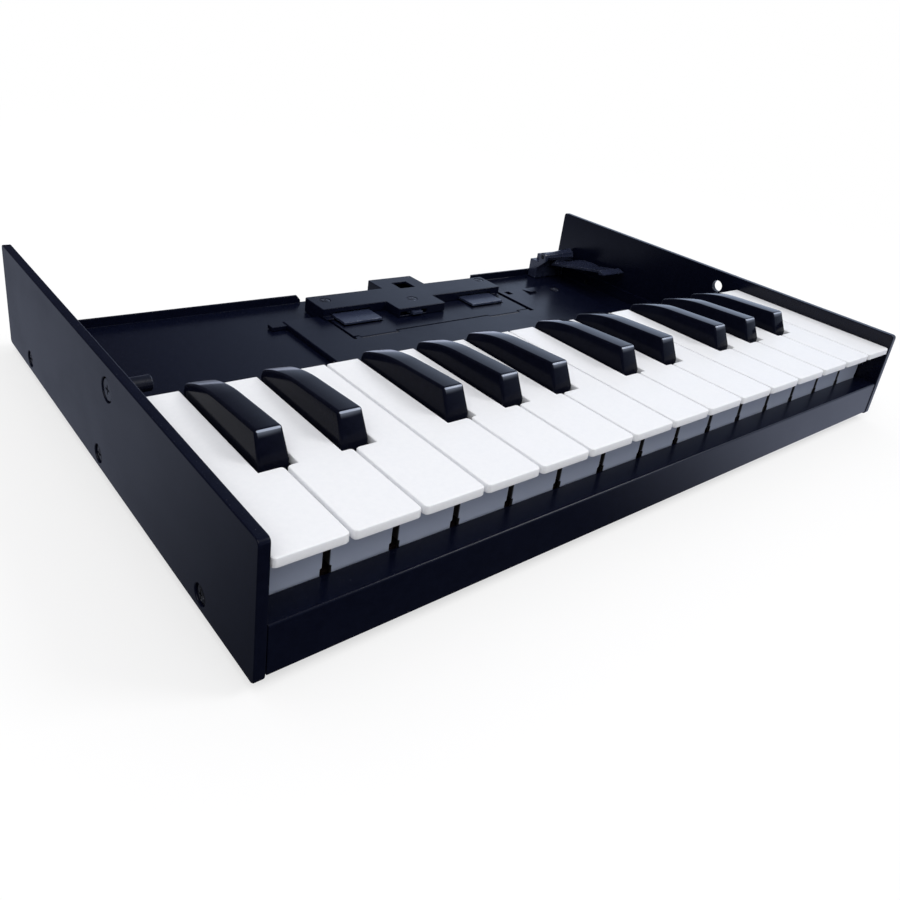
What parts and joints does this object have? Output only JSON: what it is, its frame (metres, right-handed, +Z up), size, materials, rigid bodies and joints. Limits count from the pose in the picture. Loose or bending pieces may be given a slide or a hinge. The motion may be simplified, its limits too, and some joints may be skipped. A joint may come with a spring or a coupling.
{
  "type": "mini keyboard unit",
  "caption": "Mini piano keyboard in a folded metal case with an empty tilting bay behind the keys for a desktop sound module.",
  "frame": {"origin": "centre of the footprint, on the table under the rubber feet", "axes": "+X along the keys from low to high notes, +Y from the player towards the rear, +Z up"},
  "size_m": [0.309, 0.208, 0.045],
  "materials": {
    "black_paint": "fine satin black paint with a faint blue sheen",
    "white_keys": "smooth cool white",
    "black_keys": "glossy black",
    "black_moulding": "satin black",
    "black_screws": "black zinc",
    "bright_steel": "ground",
    "rubber": "matt",
    "felt": "pressed felt",
    "circuit_board": "solder resist"
  },
  "bodies": {
    "case": {"left_side_panel": "black_paint", "right_side_panel": "black_paint", "left_front_screw": "black_screws", "left_middle_screw": "black_screws", "left_rear_screw": "black_screws", "right_front_screw": "black_screws", "right_middle_screw": "black_screws", "right_rear_screw": "black_screws", "module_pivot_bolt": "black_screws", "bottom_chassis": "black_paint", "front_panel": "black_paint", "front_left_foot": "rubber", "front_right_foot": "rubber", "rear_left_foot": "rubber", "rear_right_foot": "rubber", "keybed_frame": "black_moulding", "key_pivot_rod": "bright_steel", "front_stop_felt": "felt", "rise_stop_felt": "felt", "black_stop_felt": "felt", "contact_board": "circuit_board", "contact_rubber": "rubber", "key_spring_comb": "bright_steel", "bay_platform": "black_paint", "stand_hinge_pin": "bright_steel", "connector_clamp": "black_moulding", "connector_arm_pin": "bright_steel"},
    "white_key_01": {"white_key_01": "white_keys"},
    "white_key_02": {"white_key_02": "white_keys"},
    "white_key_03": {"white_key_03": "white_keys"},
    "white_key_04": {"white_key_04": "white_keys"},
    "white_key_05": {"white_key_05": "white_keys"},
    "white_key_06": {"white_key_06": "white_keys"},
    "white_key_07": {"white_key_07": "white_keys"},
    "white_key_08": {"white_key_08": "white_keys"},
    "white_key_09": {"white_key_09": "white_keys"},
    "white_key_10": {"white_key_10": "white_keys"},
    "white_key_11": {"white_key_11": "white_keys"},
    "white_key_12": {"white_key_12": "white_keys"},
    "white_key_13": {"white_key_13": "white_keys"},
    "white_key_14": {"white_key_14": "white_keys"},
    "white_key_15": {"white_key_15": "white_keys"},
    "black_key_01": {"black_key_01": "black_keys"},
    "black_key_02": {"black_key_02": "black_keys"},
    "black_key_03": {"black_key_03": "black_keys"},
    "black_key_04": {"black_key_04": "black_keys"},
    "black_key_05": {"black_key_05": "black_keys"},
    "black_key_06": {"black_key_06": "black_keys"},
    "black_key_07": {"black_key_07": "black_keys"},
    "black_key_08": {"black_key_08": "black_keys"},
    "black_key_09": {"black_key_09": "black_keys"},
    "black_key_10": {"black_key_10": "black_keys"},
    "tilt_stand": {"stand_plate": "black_paint", "cross_bracket": "black_paint", "leg_pin": "bright_steel"},
    "left_leg": {"left_prop_leg": "black_paint"},
    "right_leg": {"right_prop_leg": "black_paint"},
    "latch": {"stand_latch": "black_moulding"},
    "plug_arm": {"connector_arm": "black_moulding", "connector_plug": "black_moulding"}
  },
  "joints": [
    {"name": "white_key_01_press", "type": "hinge", "parent": "case", "child": "white_key_01", "pos_m": [-0.1414, -0.0275, 0.024], "axis": [1, 0, 0], "range_deg": [0, 3.4], "stiffness_Nm_per_rad": 0.17, "springref_deg": -10},
    {"name": "white_key_02_press", "type": "hinge", "parent": "case", "child": "white_key_02", "pos_m": [-0.1212, -0.0275, 0.024], "axis": [1, 0, 0], "range_deg": [0, 3.4], "stiffness_Nm_per_rad": 0.17, "springref_deg": -10},
    {"name": "white_key_03_press", "type": "hinge", "parent": "case", "child": "white_key_03", "pos_m": [-0.101, -0.0275, 0.024], "axis": [1, 0, 0], "range_deg": [0, 3.4], "stiffness_Nm_per_rad": 0.17, "springref_deg": -10},
    {"name": "white_key_04_press", "type": "hinge", "parent": "case", "child": "white_key_04", "pos_m": [-0.0808, -0.0275, 0.024], "axis": [1, 0, 0], "range_deg": [0, 3.4], "stiffness_Nm_per_rad": 0.17, "springref_deg": -10},
    {"name": "white_key_05_press", "type": "hinge", "parent": "case", "child": "white_key_05", "pos_m": [-0.0606, -0.0275, 0.024], "axis": [1, 0, 0], "range_deg": [0, 3.4], "stiffness_Nm_per_rad": 0.17, "springref_deg": -10},
    {"name": "white_key_06_press", "type": "hinge", "parent": "case", "child": "white_key_06", "pos_m": [-0.0404, -0.0275, 0.024], "axis": [1, 0, 0], "range_deg": [0, 3.4], "stiffness_Nm_per_rad": 0.17, "springref_deg": -10},
    {"name": "white_key_07_press", "type": "hinge", "parent": "case", "child": "white_key_07", "pos_m": [-0.0202, -0.0275, 0.024], "axis": [1, 0, 0], "range_deg": [0, 3.4], "stiffness_Nm_per_rad": 0.17, "springref_deg": -10},
    {"name": "white_key_08_press", "type": "hinge", "parent": "case", "child": "white_key_08", "pos_m": [0, -0.0275, 0.024], "axis": [1, 0, 0], "range_deg": [0, 3.4], "stiffness_Nm_per_rad": 0.17, "springref_deg": -10},
    {"name": "white_key_09_press", "type": "hinge", "parent": "case", "child": "white_key_09", "pos_m": [0.0202, -0.0275, 0.024], "axis": [1, 0, 0], "range_deg": [0, 3.4], "stiffness_Nm_per_rad": 0.17, "springref_deg": -10},
    {"name": "white_key_10_press", "type": "hinge", "parent": "case", "child": "white_key_10", "pos_m": [0.0404, -0.0275, 0.024], "axis": [1, 0, 0], "range_deg": [0, 3.4], "stiffness_Nm_per_rad": 0.17, "springref_deg": -10},
    {"name": "white_key_11_press", "type": "hinge", "parent": "case", "child": "white_key_11", "pos_m": [0.0606, -0.0275, 0.024], "axis": [1, 0, 0], "range_deg": [0, 3.4], "stiffness_Nm_per_rad": 0.17, "springref_deg": -10},
    {"name": "white_key_12_press", "type": "hinge", "parent": "case", "child": "white_key_12", "pos_m": [0.0808, -0.0275, 0.024], "axis": [1, 0, 0], "range_deg": [0, 3.4], "stiffness_Nm_per_rad": 0.17, "springref_deg": -10},
    {"name": "white_key_13_press", "type": "hinge", "parent": "case", "child": "white_key_13", "pos_m": [0.101, -0.0275, 0.024], "axis": [1, 0, 0], "range_deg": [0, 3.4], "stiffness_Nm_per_rad": 0.17, "springref_deg": -10},
    {"name": "white_key_14_press", "type": "hinge", "parent": "case", "child": "white_key_14", "pos_m": [0.1212, -0.0275, 0.024], "axis": [1, 0, 0], "range_deg": [0, 3.4], "stiffness_Nm_per_rad": 0.17, "springref_deg": -10},
    {"name": "white_key_15_press", "type": "hinge", "parent": "case", "child": "white_key_15", "pos_m": [0.1414, -0.0275, 0.024], "axis": [1, 0, 0], "range_deg": [0, 3.4], "stiffness_Nm_per_rad": 0.17, "springref_deg": -10},
    {"name": "black_key_01_press", "type": "hinge", "parent": "case", "child": "black_key_01", "pos_m": [-0.1331, -0.0275, 0.024], "axis": [1, 0, 0], "range_deg": [0, 3.4], "stiffness_Nm_per_rad": 0.17, "springref_deg": -10},
    {"name": "black_key_02_press", "type": "hinge", "parent": "case", "child": "black_key_02", "pos_m": [-0.1093, -0.0275, 0.024], "axis": [1, 0, 0], "range_deg": [0, 3.4], "stiffness_Nm_per_rad": 0.17, "springref_deg": -10},
    {"name": "black_key_03_press", "type": "hinge", "parent": "case", "child": "black_key_03", "pos_m": [-0.0734, -0.0275, 0.024], "axis": [1, 0, 0], "range_deg": [0, 3.4], "stiffness_Nm_per_rad": 0.17, "springref_deg": -10},
    {"name": "black_key_04_press", "type": "hinge", "parent": "case", "child": "black_key_04", "pos_m": [-0.0505, -0.0275, 0.024], "axis": [1, 0, 0], "range_deg": [0, 3.4], "stiffness_Nm_per_rad": 0.17, "springref_deg": -10},
    {"name": "black_key_05_press", "type": "hinge", "parent": "case", "child": "black_key_05", "pos_m": [-0.0276, -0.0275, 0.024], "axis": [1, 0, 0], "range_deg": [0, 3.4], "stiffness_Nm_per_rad": 0.17, "springref_deg": -10},
    {"name": "black_key_06_press", "type": "hinge", "parent": "case", "child": "black_key_06", "pos_m": [0.0083, -0.0275, 0.024], "axis": [1, 0, 0], "range_deg": [0, 3.4], "stiffness_Nm_per_rad": 0.17, "springref_deg": -10},
    {"name": "black_key_07_press", "type": "hinge", "parent": "case", "child": "black_key_07", "pos_m": [0.0321, -0.0275, 0.024], "axis": [1, 0, 0], "range_deg": [0, 3.4], "stiffness_Nm_per_rad": 0.17, "springref_deg": -10},
    {"name": "black_key_08_press", "type": "hinge", "parent": "case", "child": "black_key_08", "pos_m": [0.068, -0.0275, 0.024], "axis": [1, 0, 0], "range_deg": [0, 3.4], "stiffness_Nm_per_rad": 0.17, "springref_deg": -10},
    {"name": "black_key_09_press", "type": "hinge", "parent": "case", "child": "black_key_09", "pos_m": [0.0909, -0.0275, 0.024], "axis": [1, 0, 0], "range_deg": [0, 3.4], "stiffness_Nm_per_rad": 0.17, "springref_deg": -10},
    {"name": "black_key_10_press", "type": "hinge", "parent": "case", "child": "black_key_10", "pos_m": [0.1138, -0.0275, 0.024], "axis": [1, 0, 0], "range_deg": [0, 3.4], "stiffness_Nm_per_rad": 0.17, "springref_deg": -10},
    {"name": "stand_tilt", "type": "hinge", "parent": "case", "child": "tilt_stand", "pos_m": [0.0227, 0.0498, 0.00695], "axis": [1, 0, 0], "range_deg": [0, 25]},
    {"name": "left_leg_fold", "type": "hinge", "parent": "tilt_stand", "child": "left_leg", "pos_m": [-0.0182, 0.083, 0.0095], "axis": [1, 0, 0], "range_deg": [0, 30]},
    {"name": "right_leg_fold", "type": "hinge", "parent": "tilt_stand", "child": "right_leg", "pos_m": [0.0588, 0.083, 0.0095], "axis": [1, 0, 0], "range_deg": [0, 30]},
    {"name": "latch_slide", "type": "slide", "parent": "tilt_stand", "child": "latch", "axis": [1, 0, 0], "range_m": [-0.0032, 0.0032]},
    {"name": "plug_arm_lift", "type": "hinge", "parent": "case", "child": "plug_arm", "pos_m": [0.1383, 0.092, 0.0198], "axis": [-1, 0, 0], "range_deg": [0, 45]}
  ],
  "couplings": [
    {"joint": "left_leg_fold", "follows": "stand_tilt", "ratio": 1.2},
    {"joint": "right_leg_fold", "follows": "stand_tilt", "ratio": 1.2}
  ]
}
